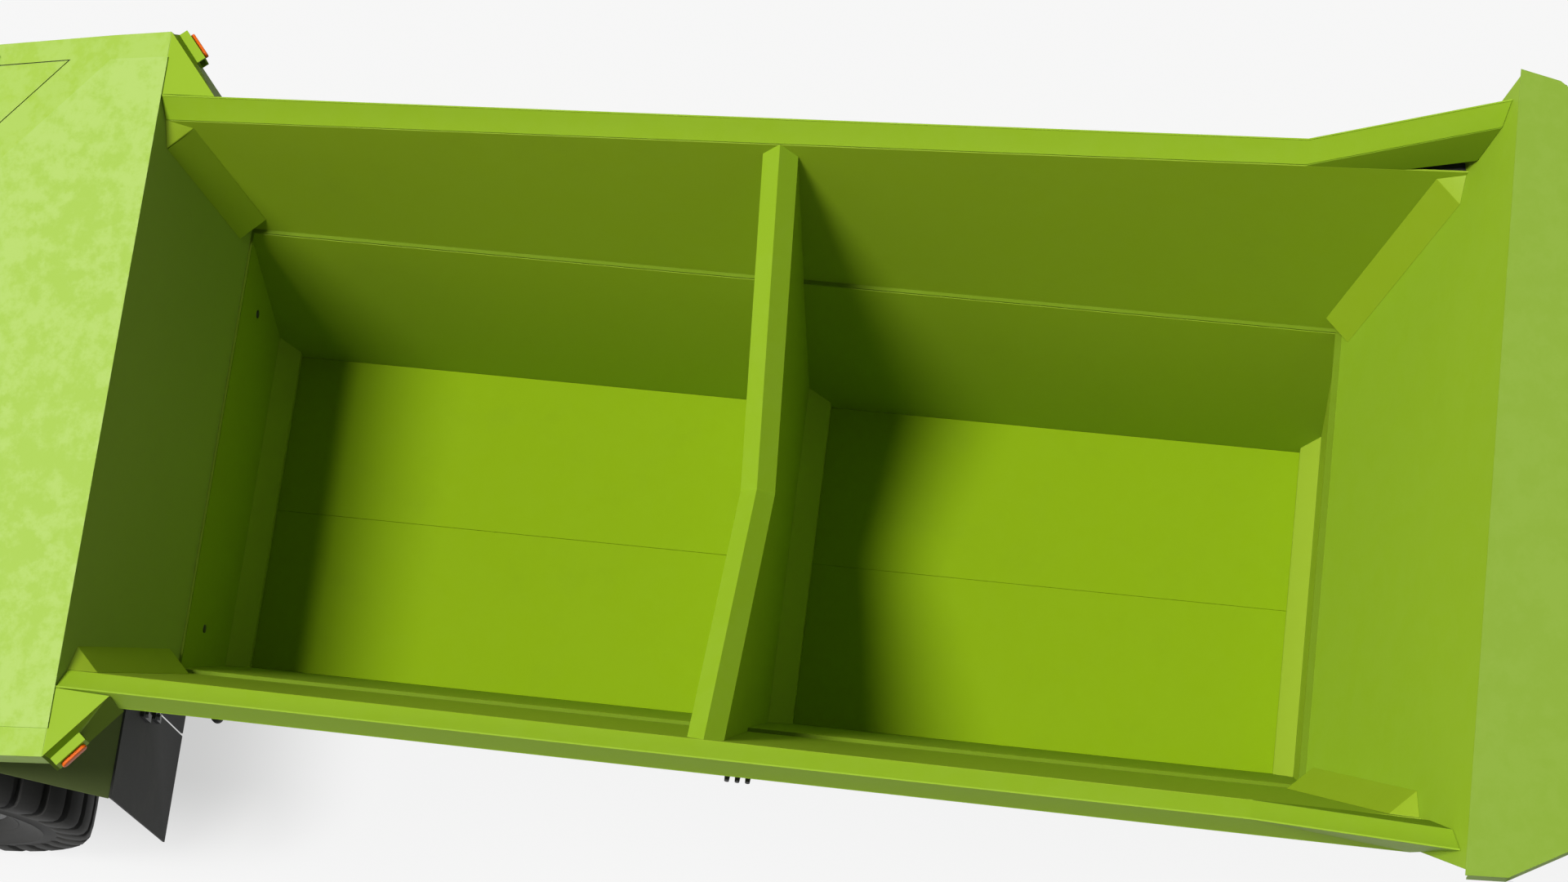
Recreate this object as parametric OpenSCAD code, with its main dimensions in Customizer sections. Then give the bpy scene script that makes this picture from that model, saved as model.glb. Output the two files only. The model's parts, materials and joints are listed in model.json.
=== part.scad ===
// Bottom-discharge gravity wagon: a two-compartment sheet-metal hopper hung between two hoods,
// with floor doors, a steering front axle and a drawbar. X runs to the rear, Y to the right-hand
// side when facing forward, Z up from the ground. All sizes are in millimetres.

/* [Hopper] */
// Height of the closed floor doors above the ground
floor_z = 820; // [800:5:840]
// Half of the floor width between the tub sides
floor_half = 600; // [580:5:620]
// Height of the ledge above the floor
ledge_h = 800; // [780:5:820]
// Half of the tub width at the ledge
tub_top_half = 797; // [780:1:800]
// Half of the upper wall spacing at the ledge
ledge_out = 812; // [808:1:820]
// Outward lean of the upper side walls per unit of height
wall_lean = 0.2625; // [0.24:0.0025:0.28]
// Distance from the divider to each tub end
tub_end = 1926; // [1920:1:1932]
// Distance from the divider to the ledge at each end
ledge_x = 1912; // [1908:1:1916]
// Sheet thickness of the hopper walls
sheet_t = 6; // [4:1:8]

/* [Hoods] */
// Height of the front ridge above the ground
front_ridge_z = 2272; // [2260:2:2280]
// Distance from the divider to the front ridge
front_ridge_x = 2145; // [2140:1:2150]
// Height of the rear ridge above the ground
rear_ridge_z = 2914; // [2900:2:2920]
// Distance from the divider to the rear ridge
rear_ridge_x = 2361; // [2355:1:2365]
// Half width of the front hood
hood_half = 1273; // [1270:1:1276]
// Half width of the rear hood
rear_hood_half = 1288; // [1284:1:1290]
// Distance from the divider to the front edge of the front hood
hood_front_x = 3840; // [3800:10:3880]

/* [Running gear] */
// Distance from the divider to the front axle
axle_x = 3075; // [3060:5:3090]
// Distance from the divider to the rear axle
rear_axle_x = 3640; // [3620:5:3680]
// Outer radius of the tyres over the lugs
tyre_r = 672; // [660:2:680]
// Half width between the outer tyre faces
track_out = 1255; // [1245:5:1265]
// Tyre section width
tyre_w = 560; // [540:10:580]
// Lugs round each shoulder of a tyre
lug_count = 32; // [28:4:36]
// Distance from the divider to the centre of the towing eye
eye_x = 5000; // [4900:10:5100]

/* [Doors] */
// Half length of the closed strip under the divider
centre_gap = 137; // [135:1:139]
// Opening angle of the floor doors
door_open = 60; // [50:1:60]
// Drop of the slotted arm's pin below the hinge
arm_drop = 150; // [145:1:155]

/* [Hidden] */
$fn = 48;
lime = "#93b723";
dark_lime = "#5f7d1c";
steel = "#9aa0a4";
graphite = "#3a3d3f";
black = "#26282a";
amber = "#e8701a";

ledge_z = floor_z + ledge_h;
bar_t = 8;
tub_lean = (tub_top_half - floor_half) / (ledge_h - bar_t);
front_foot = ledge_x + 8;
rear_foot = ledge_x + 22;
front_lean = (front_ridge_x - front_foot) / (front_ridge_z - ledge_z);
rear_lean = (rear_ridge_x - rear_foot) / (rear_ridge_z - ledge_z);
strip_x = 1859;
flange_out = 740;
flange_z = floor_z - sheet_t;
beam_h = 120;
beam_bottom = flange_z - beam_h;
rail_in = 300;
rail_out = 360;
rail_bottom = 840;
rail_top = 960;
beam_face = 2022;
hinge_y = 622;
hinge_z = 795;
pin_r = 12;
run = 0.05;
tyre_mid = track_out - tyre_w / 2;
wheel_z = tyre_r;
king_y = 600;
rear_reach = rear_axle_x + tyre_r;
eye_r = 55;
mid_x = (eye_x + eye_r - rear_reach) / 2;

// Inner faces of the hopper, by height
function tub_y(z) = floor_half + tub_lean * (z - floor_z);
function wall_y(z) = ledge_out + wall_lean * (z - ledge_z);
function front_x(z) = -(front_foot + front_lean * (z - ledge_z));
function rear_x(z) = rear_foot + rear_lean * (z - ledge_z);
function end_x(side, z) = side < 0 ? front_x(z) : rear_x(z);

// Point where the line from p along d meets the plane n * point = c
function hit(p, d, n, c) = p + d * ((c - n * p) / (n * d));
function turned(list) = [for (i = [len(list) - 1 : -1 : 0]) list[i]];

front_n = [1, 0, front_lean];
front_c = -front_foot + front_lean * ledge_z;
rear_n = [1, 0, -rear_lean];
rear_c = rear_foot - rear_lean * ledge_z;

// Solid through a row of like outlines; flat where matching edges are parallel
module skin(rings) {
    n = len(rings[0]);
    last = len(rings) - 1;
    a = rings[0];
    back = cross(a[1] - a[0], a[2] - a[0]) * (rings[1][0] - a[0]) < 0;
    rows = back ? [for (r = rings) turned(r)] : rings;
    polyhedron(
        points = [for (r = rows) each r],
        faces = concat(
            [[for (i = [0 : n - 1]) i]],
            [[for (i = [n - 1 : -1 : 0]) last * n + i]],
            [for (k = [0 : last - 1]) for (i = [0 : n - 1]) let (j = (i + 1) % n)
                [k * n + i, k * n + n + i, k * n + n + j, k * n + j]]
        )
    );
}

module loft(a, b) {
    skin([a, b]);
}

// Flat sheet: an outline pushed along d
module sheet(outline, d) {
    loft(outline, [for (v = outline) v + d]);
}

// Folded plate: flat facets between shared points, pushed along d; edge and holes are its border loops
function total(list) = [for (v = list) 1] * list;
function area(f, p) = total([for (i = [0 : len(f) - 1]) cross(p[f[i]], p[f[(i + 1) % len(f)]])]);
function along(f, p, d) = area(f, p) * d > 0 ? f : turned(f);
function wall(loop, n) = [for (i = [0 : len(loop) - 1]) let (a = loop[i], b = loop[(i + 1) % len(loop)])
    [a, b, n + b, n + a]];
module folded(p, facets, edge, holes, d) {
    n = len(p);
    polyhedron(
        points = concat(p, [for (v = p) v + d]),
        faces = concat(
            [for (f = facets) along(f, p, d)],
            [for (f = facets) [for (i = turned(along(f, p, d))) n + i]],
            wall(turned(along(edge, p, d)), n),
            [for (h = holes) each wall(along(h, p, d), n)]
        )
    );
}

module block(low, high) {
    translate(low) cube(high - low);
}

module left() {
    mirror([0, 1, 0]) children();
}

module both() {
    children();
    left() children();
}

module both_ends() {
    children();
    mirror([1, 0, 0]) children();
}

module rod_x(r, length) {
    rotate([0, 90, 0]) cylinder(r = r, h = length, center = true);
}

module rod_y(r, length) {
    rotate([90, 0, 0]) cylinder(r = r, h = length, center = true);
}

// Profile in Y and Z pushed along X from x by t
module slice(profile, x, t) {
    translate([x, 0, 0]) rotate([90, 0, 90]) linear_extrude(t) polygon(profile);
}

// Lower tub side with the foot flange that carries the side sill and the door hinge
module tub_side() {
    top = ledge_z - bar_t;
    end = tub_end + sheet_t;
    sheet(
        [[-end, floor_half, floor_z], [end, floor_half, floor_z],
         [end, tub_y(top), top], [-end, tub_y(top), top]],
        [0, sheet_t, 0]
    );
    block([-beam_face, floor_half, flange_z], [beam_face, flange_out, floor_z]);
}

module tub_side_right() {
    color(lime) tub_side();
}

module tub_side_left() {
    color(lime) left() tub_side();
}

// Tub end panel with two drain holes near its upper corners
drain_r = 12;
drain_y = 588;
module tub_end_panel(side, drain_z) {
    top = ledge_z - bar_t;
    difference() {
        sheet(
            [for (p = [[-1, flange_z], [1, flange_z], [1, top], [-1, top]])
                [side * tub_end, p[0] * tub_y(p[1]), p[1]]],
            [side * sheet_t, 0, 0]
        );
        for (y = [-drain_y, drain_y]) translate([side * tub_end, y, drain_z]) rod_x(drain_r, 4 * sheet_t);
    }
}

module tub_ends() {
    color(lime) {
        tub_end_panel(-1, floor_z + 510);
        tub_end_panel(1, floor_z + 695);
    }
}

// Flat bars on top of the tub: their inner edge is the ledge
bar_in = 799;
bar_out = 840;
weld_gap = 0.4;
module ledge_frame() {
    color(lime) {
        both() block([-ledge_x - bar_out + bar_in, bar_in, ledge_z - bar_t],
                     [ledge_x + bar_out - bar_in, bar_out, ledge_z]);
        both_ends() block([ledge_x, weld_gap - bar_in, ledge_z - bar_t],
                          [ledge_x + bar_out - bar_in, bar_in - weld_gap, ledge_z]);
    }
}

// Rim line: outer top edge at the front, at the kink and at the rear wall
rim_start = [-front_ridge_x, 1040, front_ridge_z];
rim_kink = [1727, 1123, floor_z + 1764];
rim_end = [2335, 1205, floor_z + 2039];
rim_in = [-70, -57.9];

// Upper side sheet; its top edge runs straight on where the rim rises at the rear
function rim_foot_z(x) = front_ridge_z + rim_in[1]
    + (x - rim_start[0]) * (rim_kink[2] - rim_start[2]) / (rim_kink[0] - rim_start[0]);
wall_top_rear = rim_foot_z(2240);
wall_top_front = rim_foot_z(-2120);
module upper_side() {
    sheet(
        [[front_x(ledge_z), wall_y(ledge_z), ledge_z],
         [rear_x(ledge_z), wall_y(ledge_z), ledge_z],
         [rear_x(wall_top_rear), wall_y(wall_top_rear), wall_top_rear],
         [front_x(wall_top_front), wall_y(wall_top_front), wall_top_front]],
        [0, sheet_t, 0]
    );
}

module upper_side_right() {
    color(lime) upper_side();
}

module upper_side_left() {
    color(lime) left() upper_side();
}

// Roof-shaped rim rail folded from sheet and closed below, cut on the end walls; at the rear its
// top rises while its sole runs straight on
rim_t = 5;
rim_inner = [0, -70, -52];
rim_outer = [0, 24, -120];
rim_sole = [0, -87, -150];
end_gap = 1.9;
module rim() {
    run_d = rim_kink - rim_start;
    rise_d = rim_end - rim_kink;
    front_cut = front_c + end_gap;
    rear_cut = rear_c - end_gap;
    function fore(offset) = hit(rim_start + offset, run_d, front_n, front_cut);
    function aft(offset, d) = hit(rim_kink + offset, d, rear_n, rear_cut);
    none = [0, 0, 0];
    down = [0, 0, -rim_t];
    inward = [0, -rim_t, 0];
    sheet([fore(none), rim_kink, rim_kink + rim_inner, fore(rim_inner)], down);
    sheet([fore(none), rim_kink, rim_kink + rim_outer, fore(rim_outer)], inward);
    sheet([rim_kink, aft(none, rise_d), aft(rim_inner, rise_d), rim_kink + rim_inner], down);
    sheet([rim_kink, aft(none, rise_d), aft(rim_outer, run_d)], inward);
    sheet([rim_kink, aft(rim_outer, run_d), rim_kink + rim_outer], inward);
    sheet([fore(rim_outer), aft(rim_outer, run_d), aft(rim_sole, run_d), fore(rim_sole)],
          [0, 0, rim_t]);
    rim_web();
}

// Web in line with the wall that fills the gap up to the rising rim, but for a thin wedge at the rear
web_gap_x = 2040;
web_slope = 0.36;
module rim_web() {
    rise = (rim_end[2] - rim_kink[2]) / (rim_end[0] - rim_kink[0]);
    function foot(x) = [x, wall_y(rim_foot_z(x) + weld_gap), rim_foot_z(x) + weld_gap];
    function ahead(p, slope) = hit(p, [1, wall_lean * slope, slope], rear_n, rear_c - end_gap);
    low = foot(rim_kink[0]);
    gap = foot(web_gap_x);
    sheet([low, gap, ahead(gap, web_slope), ahead(low, rise)], [0, 4, 0]);
}

module rim_right() {
    color(lime) rim();
}

module rim_left() {
    color(lime) left() rim();
}

// Front end wall with ears that carry the hood's rear corners
hood_t = 5;
ear_z = 2110;
ear_y = 1204;
module front_end_wall() {
    neck = 2060;
    top = front_ridge_z - hood_t - 1.4;
    ear_top = hood_half - hood_t - 0.6;
    half = [[ledge_out + sheet_t, ledge_z], [wall_y(neck) + sheet_t, neck], [ear_y, ear_z], [ear_top, top]];
    color(lime) folded(
        concat([for (p = half) [front_x(p[1]), p[0], p[1]]], [for (p = half) [front_x(p[1]), -p[0], p[1]]]),
        [[0, 1, 5, 4], [1, 3, 7, 5], [1, 2, 3], [5, 6, 7]],
        [0, 1, 2, 3, 7, 6, 5, 4],
        [],
        [-sheet_t, 0, 0]
    );
}

// Rear end wall with wings beyond the rims
rear_hood_t = 6;
module rear_end_wall() {
    top = rear_ridge_z - rear_hood_t - 1.1;
    half = [[ledge_out + sheet_t, ledge_z], [wall_y(2440) + sheet_t, 2440], [1150, 2520], [1270, top]];
    color(lime) folded(
        concat([for (p = half) [rear_x(p[1]), p[0], p[1]]], [for (p = half) [rear_x(p[1]), -p[0], p[1]]]),
        [[0, 1, 5, 4], [1, 3, 7, 5], [1, 2, 3], [5, 6, 7]],
        [0, 1, 2, 3, 7, 6, 5, 4],
        [],
        [sheet_t, 0, 0]
    );
}

// Divider: two sheets with a V-shaped top edge, and a roof-shaped cap over both
divider_half = 58;
cap_ridge_side = 2392;
cap_ridge_mid = 1756;
cap_slope = (cap_ridge_side - cap_ridge_mid) / wall_y(cap_ridge_side);
eave = -50;
function cap_y(offset) =
    (ledge_out + wall_lean * (cap_ridge_mid + offset - ledge_z)) / (1 - wall_lean * cap_slope);
function cap_side(x, offset) = [x, cap_y(offset), cap_ridge_mid + offset + cap_slope * cap_y(offset)];
function cap_mid(x, offset) = [x, 0, cap_ridge_mid + offset];
module divider() {
    top = eave - 5.2;
    foot = cap_side(0, top);
    half = [[floor_half, flange_z], [floor_half, floor_z], [tub_y(ledge_z - bar_t), ledge_z - bar_t],
            [tub_y(ledge_z - bar_t), ledge_z], [ledge_out, ledge_z], [foot[1], foot[2]]];
    profile = concat(
        half,
        [[0, cap_ridge_mid + top]],
        [for (p = turned(half)) [-p[0], p[1]]]
    );
    color(lime) both_ends() slice(profile, divider_half - sheet_t, sheet_t);
}

function cap_past(x, offset) = cap_mid(x, offset) - 4 * [0, 1, cap_slope];
module divider_cap() {
    outer = [[-60, eave], [0, 0], [60, eave]];
    inner = [[-64, eave - 10], [0, -7], [64, eave - 10]];
    color(lime) both() difference() {
        loft([for (s = outer) cap_past(s[0], s[1])], [for (s = outer) cap_side(s[0], s[1])]);
        loft([for (s = inner) cap_past(s[0], s[1]) - [0, 1, cap_slope]],
             [for (s = inner) cap_side(s[0], s[1]) + [0, 1, cap_slope]]);
    }
}

// Sloped foot strips that shed the load off the end beams and off the divider's foot
module foot_strip(low, high) {
    low_z = floor_z + 30;
    high_z = floor_z + 120;
    t = low < high ? sheet_t : -sheet_t;
    bend = [[low, low_z], [low + t, low_z - 4]];
    lip = [bend[1], [low + t, floor_z], [low, floor_z], bend[0]];
    slope = [bend[0], [high, high_z], [high, high_z - 8], bend[1]];
    for (fold = [lip, slope]) loft(
        [for (p = fold) [p[0], tub_y(p[1]), p[1]]],
        [for (p = fold) [p[0], -tub_y(p[1]), p[1]]]
    );
}

module foot_strips() {
    color(lime) both_ends() {
        foot_strip(strip_x, tub_end);
        foot_strip(centre_gap, divider_half);
    }
}

// Corner gusset: a strip across the corner of side and end wall with a sloped cap
gusset_w = 81;
gusset_t = 9;
function in_corner(s, z) = [end_x(s, z) - s * weld_gap, wall_y(z) - weld_gap, z];
function on_side(s, z, g) = in_corner(s, z) - [s * g, 0, 0];
function on_end(s, z, g) = in_corner(s, z) - [0, g, 0];
module corner_gusset(s, foot, top) {
    function ring(z) = [on_side(s, z, gusset_w), on_end(s, z, gusset_w),
                        on_end(s, z, gusset_w - gusset_t), on_side(s, z, gusset_w - gusset_t)];
    function lid(z) = [on_side(s, z, gusset_w), on_end(s, z, gusset_w), in_corner(s, z + 34)];
    loft(ring(foot), ring(top - sheet_t));
    loft(lid(top), lid(top - sheet_t));
}

module corner_gussets() {
    color(lime) both() {
        corner_gusset(-1, 1684, 2188);
        corner_gusset(1, 1680, 2520);
    }
}

// Side stakes outside the tub and the upper walls
stake_x = [-1560, -820, 820, 1560];
stake_w = 40;
module side_stakes() {
    sill_top = floor_z + beam_h;
    tub_top = ledge_z - bar_t;
    head = 2080;
    gap = sheet_t + 0.5;
    lower = [[tub_y(sill_top) + gap, sill_top], [flange_out, sill_top], [bar_out - 2, tub_top],
             [tub_y(tub_top) + gap, tub_top]];
    upper = [[wall_y(ledge_z) + gap, ledge_z], [bar_out - 2, ledge_z], [wall_y(head) + 46, head],
             [wall_y(head) + gap, head]];
    color(lime) both() for (x = stake_x) {
        slice(lower, x - stake_w / 2, stake_w);
        slice(upper, x - stake_w / 2, stake_w);
    }
}

// Front hood: a centre facet and two side facets that meet it on 45 degree creases
facet_y = 1181;
facet_x = -2359;
centre_slope = 0.32;
side_slope = 0.40;
side_fall = -0.084;
skirt_h = 110;
function centre_z(x) = front_ridge_z + centre_slope * (x + front_ridge_x);
function side_z(x, y) = centre_z(facet_x) + side_slope * (x - facet_x) + side_fall * (y - facet_y);
hatch_y = 1187;
hatch_back = -2530;
hatch_front = -3420;
hatch_gap = 4;
apex_x = facet_x - facet_y;
function on_centre(x, y) = [x, y, centre_z(x)];
function on_facet(x, y) = [x, y, side_z(x, y)];

// Top plate of the hood in one folded sheet, with a hole under each hatch
module hood_plate() {
    edge_y = hatch_y + hatch_gap;
    nose = hatch_front - hatch_gap;
    diag = hatch_y - hatch_back - 1.5 * hatch_gap;
    half = [on_centre(-front_ridge_x, hood_half), on_centre(-front_ridge_x, facet_y),
            on_facet(facet_x, hood_half), on_centre(facet_x, facet_y),
            on_facet(-hood_front_x, hood_half), on_facet(edge_y - diag, edge_y),
            on_facet(nose, edge_y), on_facet(nose, nose + diag)];
    p = concat(half, [for (v = half) [v[0], -v[1], v[2]]], [on_facet(apex_x, 0), on_facet(-hood_front_x, 0)]);
    side = [[1, 0, 2], [1, 2, 3], [3, 16, 7, 5], [16, 17, 4, 6, 7], [4, 2, 5, 6], [2, 3, 5]];
    far = [for (f = side) [for (i = f) i < 8 ? i + 8 : i]];
    folded(
        p,
        concat(side, far, [[1, 3, 16, 11, 9]]),
        [0, 1, 9, 8, 10, 12, 17, 4, 2],
        [[5, 6, 7], [13, 14, 15]],
        [0, 0, -hood_t]
    );
}

// Skirts that hang under the plate's edges, and the corner wing behind the ridge with its upright face
module hood_skirts() {
    tuck = [0, 0, -hood_t - weld_gap];
    drop = [0, 0, -skirt_h];
    corner = on_facet(-hood_front_x, hood_half);
    bend = on_facet(facet_x, hood_half);
    back = on_centre(-front_ridge_x, hood_half);
    middle = on_facet(-hood_front_x, 0);
    inset = [hood_t + weld_gap, 0, 0];
    sheet([bend + tuck, corner + inset + tuck, corner + inset + drop, bend + drop], [0, -hood_t, 0]);
    sheet([back + tuck, bend + tuck + inset, bend + inset + drop, back + drop], [0, -hood_t, 0]);
    sheet([corner + tuck, middle + tuck, middle + drop, corner + drop], [hood_t, 0, 0]);
    wing = [-1958, 1051, front_ridge_z];
    ridge = -front_ridge_x + weld_gap;
    sheet([[ridge, hood_half, front_ridge_z], wing, [ridge, 1043, front_ridge_z]], [0, 0, -hood_t]);
    clear = [-9, 9, 0];
    sheet([[-front_ridge_x + 7, hood_half - 6, front_ridge_z] + tuck, wing + tuck + clear,
           [-1979, 1076, 2150], [-1979, 1076, ear_z], [front_x(ear_z) + 7, ear_y - 6, ear_z]],
          [-4, -4, 0]);
}

// Hatch hinges: a knuckle strapped to the hatch between two lugs on the hood
hatch_hinge_x = [-2870, -3310];
hatch_pin_r = 5;
hatch_axis = [hatch_y + 2, 9];
module hatch_hinges() {
    for (x = hatch_hinge_x) translate(on_facet(x, hatch_axis[0]) + [0, 0, hatch_axis[1]])
        rotate([0, -atan(side_slope), 0]) children();
}

module hatch_lugs() {
    hatch_hinges() {
        rod_x(hatch_pin_r, 122);
        both_ends() {
            block([34, 0, -14], [60, 36, -4]);
            translate([47, 0, 0]) rod_x(7.5, 26);
        }
    }
}

module front_hood() {
    color(lime) {
        hood_plate();
        both() hood_skirts();
        both() lamp_box();
        both() hatch_lugs();
    }
}

// Triangular hatch on the side facet, hinged along its outer edge
module hatch() {
    tip_y = hatch_y + hatch_front - hatch_back;
    sheet([on_facet(hatch_back, hatch_y), on_facet(hatch_front, hatch_y), on_facet(hatch_front, tip_y)],
          [0, 0, -hood_t]);
    hatch_hinges() difference() {
        union() {
            rod_x(7.5, 60);
            block([-30, -46, -10], [30, 0, -3]);
        }
        rod_x(hatch_pin_r + run, 80);
    }
}

module hood_hatch_right() {
    color(lime) hatch();
}

module hood_hatch_left() {
    color(lime) left() hatch();
}

// Rear hood: a roof that falls to the rear, with bevelled corners and a short skirt
rear_slope = 0.30;
rear_hood_x = 3187;
rear_corner = [2487, 1275];
rear_tail = [rear_hood_x, 850];
function roof(x, y) = [x, y, rear_ridge_z - rear_slope * (x - rear_ridge_x)];
module rear_hood() {
    half = [[rear_ridge_x - 4, rear_hood_half], rear_corner, rear_tail];
    drop = [0, 0, -70];
    color(lime) {
        sheet(
            concat([for (p = half) roof(p[0], p[1])], [for (p = turned(half)) roof(p[0], -p[1])]),
            [0, 0, -rear_hood_t]
        );
        both() {
            a = roof(rear_ridge_x + 6, rear_hood_half - 1);
            b = roof(rear_corner[0], rear_corner[1]);
            c = roof(rear_tail[0], rear_tail[1]);
            sheet([a, b, b + drop, a + drop], [0, -rear_hood_t, 0]);
            sheet([b, c, c + drop, b + drop], [-3, -rear_hood_t, 0]);
            sheet([c, [c[0], 0, c[2]], [c[0], 0, c[2]] + drop, c + drop], [-rear_hood_t, 0, 0]);
        }
    }
}

// Front fender: a folded plate over the tyre, hung from the hood on two flat bars
fender_out = 1236;
fender_in = 700;
fender_t = 5;
fender_fold = [[-2143, 1394], [-2480, 1692], [-3250, 1692], [-3700, 1430]];
module fender() {
    for (i = [0 : len(fender_fold) - 2]) {
        a = fender_fold[i];
        b = fender_fold[i + 1];
        sheet(
            [[a[0], fender_in, a[1]], [b[0], fender_in, b[1]], [b[0], fender_out, b[1]],
             [a[0], fender_out, a[1]]],
            [0, 0, fender_t]
        );
    }
    fender_hanger(-2560, 900, [-centre_slope, 0, 1], centre_z(0) - hood_t);
    fender_hanger(-3200, 1215, [-side_slope, -side_fall, 1], side_z(0, 0) - hood_t);
}

hanger_w = 50;
module fender_hanger(x, y, n, c) {
    z = fender_fold[1][1];
    foot = [[x, y, z], [x + hanger_w, y, z], [x + hanger_w, y + fender_t, z], [x, y + fender_t, z]];
    loft(foot, [for (p = foot) hit(p, [0, 0, 1], n, c)]);
}

module fender_right() {
    color(lime) fender();
}

module fender_left() {
    color(lime) left() fender();
}

// Rubber mud flap under the fender's rear edge, slit near its inner side
flap_t = 8;
flap_bottom = 567;
slit_y = 827;
module mud_flaps() {
    top = fender_fold[0][1] + fender_t;
    color(black) both() difference() {
        block([fender_fold[0][0], 690, flap_bottom], [fender_fold[0][0] + flap_t, fender_out - 4, top]);
        block([fender_fold[0][0] - 1, slit_y - 5, flap_bottom - 1],
              [fender_fold[0][0] + flap_t + 1, slit_y + 5, flap_bottom + 370]);
    }
}

// Marker lamp: a capsule-shaped lens on a short tube welded to the wing's upright face
lamp_mid = [-2086, 1203, 2222];
lamp_turn = -49.8;
lamp_deep = 32;
lens_r = 16;
lens_half = 34;
module lamp_place() {
    translate(lamp_mid) rotate([0, 0, lamp_turn]) children();
}

module lamp_box() {
    lamp_place() difference() {
        block([-62, 0, -30], [62, lamp_deep, 28]);
        block([-63, 6, -24], [63, lamp_deep - 6, 22]);
    }
}

module lamp_lenses() {
    color(amber) both() lamp_place() translate([0, lamp_deep, -1]) rotate([-90, 0, 0]) linear_extrude(14) {
        square([2 * lens_half, 2 * lens_r], center = true);
        translate([-lens_half, 0]) circle(r = lens_r);
        translate([lens_half, 0]) circle(r = lens_r);
    }
}

// Side sill on the foot flange, with the hinge lugs that hang under the flange
lug_x = [192, 480, 1000, 1480, 1840];
lug_w = 36;
module side_sill() {
    block([-beam_face, 660, floor_z], [beam_face, flange_out, floor_z + beam_h]);
    for (s = [-1, 1]) for (x = lug_x) difference() {
        block([s * x - lug_w / 2, hinge_y - 18, hinge_z - 18], [s * x + lug_w / 2, hinge_y + 18, flange_z]);
        translate([s * x, hinge_y, hinge_z]) rod_x(pin_r + 0.02, 2 * lug_w);
    }
}

module side_sill_right() {
    color(lime) side_sill();
}

module side_sill_left() {
    color(lime) left() side_sill();
}

// Cross beams under the tub ends and under the divider
module cross_beams() {
    end_low = 1874;
    end_step = tub_end + sheet_t;
    end_fold = [[end_low, beam_bottom], [beam_face, beam_bottom], [beam_face, rail_top],
                [end_step + 4, rail_top], [end_step + 4, flange_z], [end_low, flange_z]];
    color(dark_lime) {
        both_ends() translate([0, floor_half - 2, 0]) rotate([90, 0, 0])
            linear_extrude(2 * (floor_half - 2)) polygon(end_fold);
        both_ends() both() block([end_low, floor_half - 2, beam_bottom], [beam_face, flange_out, flange_z]);
        block([-60, -flange_out, beam_bottom], [60, flange_out, flange_z]);
    }
}

// Box rails from the end beams out over both axles
front_rail_end = 3350;
rear_rail_end = rear_axle_x + 180;
rail_wall = 8;
module frame_rail(end) {
    difference() {
        block([beam_face, rail_in, rail_bottom], [end, rail_out, rail_top]);
        block([beam_face + 20, rail_in + rail_wall, rail_bottom + rail_wall],
              [end - 20, rail_out - rail_wall, rail_top - rail_wall]);
    }
}

module frame_rails() {
    color(dark_lime) both() {
        frame_rail(rear_rail_end);
        rotate([0, 0, 180]) frame_rail(front_rail_end);
    }
}

// Posts: short ones hold the end walls, long ones hold the hoods
module post(x, y, w, n, c) {
    up = [0, 0, 1];
    foot = [for (c = [[-w, -w], [w, -w], [w, w], [-w, w]]) [x + c[0], y + c[1], rail_top]];
    loft(foot, [for (p = foot) hit(p, up, n, c)]);
}

module end_posts() {
    w = 30;
    mid = (rail_in + rail_out) / 2;
    wall_off = sheet_t + weld_gap;
    hood_c = centre_z(0) - hood_t;
    roof_c = rear_ridge_z + rear_slope * rear_ridge_x - rear_hood_t;
    color(dark_lime) both() {
        post(-2075, mid, w, front_n, front_c - wall_off);
        post(2075, mid, w, rear_n, rear_c + wall_off);
        post(-2900, mid, w, [-centre_slope, 0, 1], hood_c);
        post(3060, mid, w, [rear_slope, 0, 1], roof_c);
    }
}

// Bolster between the front rails with the pin on which the front axle rocks
rock_z = 790;
rock_r = 25;
module bolster() {
    color(dark_lime) translate([-axle_x, 0, 0]) {
        block([-100, -rail_in, 860], [100, rail_in, 940]);
        both_ends() block([75, -45, rock_z - 45], [100, 45, 860]);
    }
    color(steel) translate([-axle_x, 0, rock_z]) rod_x(rock_r, 200);
}

spindle_r = 35;
spindle_end = tyre_mid + 59;
beam_half = 60;

// Rear axle with hangers under the rear rails
module rear_axle() {
    color(graphite) translate([rear_axle_x, 0, wheel_z]) {
        block([-beam_half, -640, -beam_half], [beam_half, 640, beam_half]);
        both() translate([0, (640 + spindle_end) / 2, 0]) rod_y(spindle_r, spindle_end - 640);
        both() block([-120, rail_in, beam_half], [120, rail_out, rail_bottom - wheel_z]);
    }
}

// Front axle: rocking boss on top, king pins at its ends, ears for the tongue in front
king_r = 22;
tongue_x = 150;
tongue_r = 20;
steer_x = 260;
module front_axle() {
    color(graphite) translate([-axle_x, 0, wheel_z]) {
        difference() {
            union() {
                block([-beam_half, -king_y, -beam_half], [beam_half, king_y, beam_half]);
                both() translate([0, king_y, -beam_half]) cylinder(r = 50, h = 2 * beam_half);
                block([-70, -50, 0], [70, 50, rock_z - wheel_z]);
                translate([0, 0, rock_z - wheel_z]) rod_x(50, 140);
            }
            both() translate([0, king_y, 0]) difference() {
                block([-61, -50, -61], [61, 51, 61]);
                cylinder(r = 50, h = 130, center = true);
                block([-61, -51, -61], [61, 0, 61]);
            }
            translate([0, 0, rock_z - wheel_z]) rod_x(rock_r + run, 150);
        }
        both() translate([0, king_y, -112]) cylinder(r = king_r, h = 224);
        for (z = [-beam_half, 36]) translate([0, 0, z]) {
            block([-tongue_x - 10, -50, 0], [-beam_half, 50, 24]);
            translate([-tongue_x, 0, 0]) cylinder(r = 50, h = 24);
        }
        translate([-tongue_x, 0, -beam_half]) cylinder(r = tongue_r, h = 2 * beam_half);
    }
}

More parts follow.
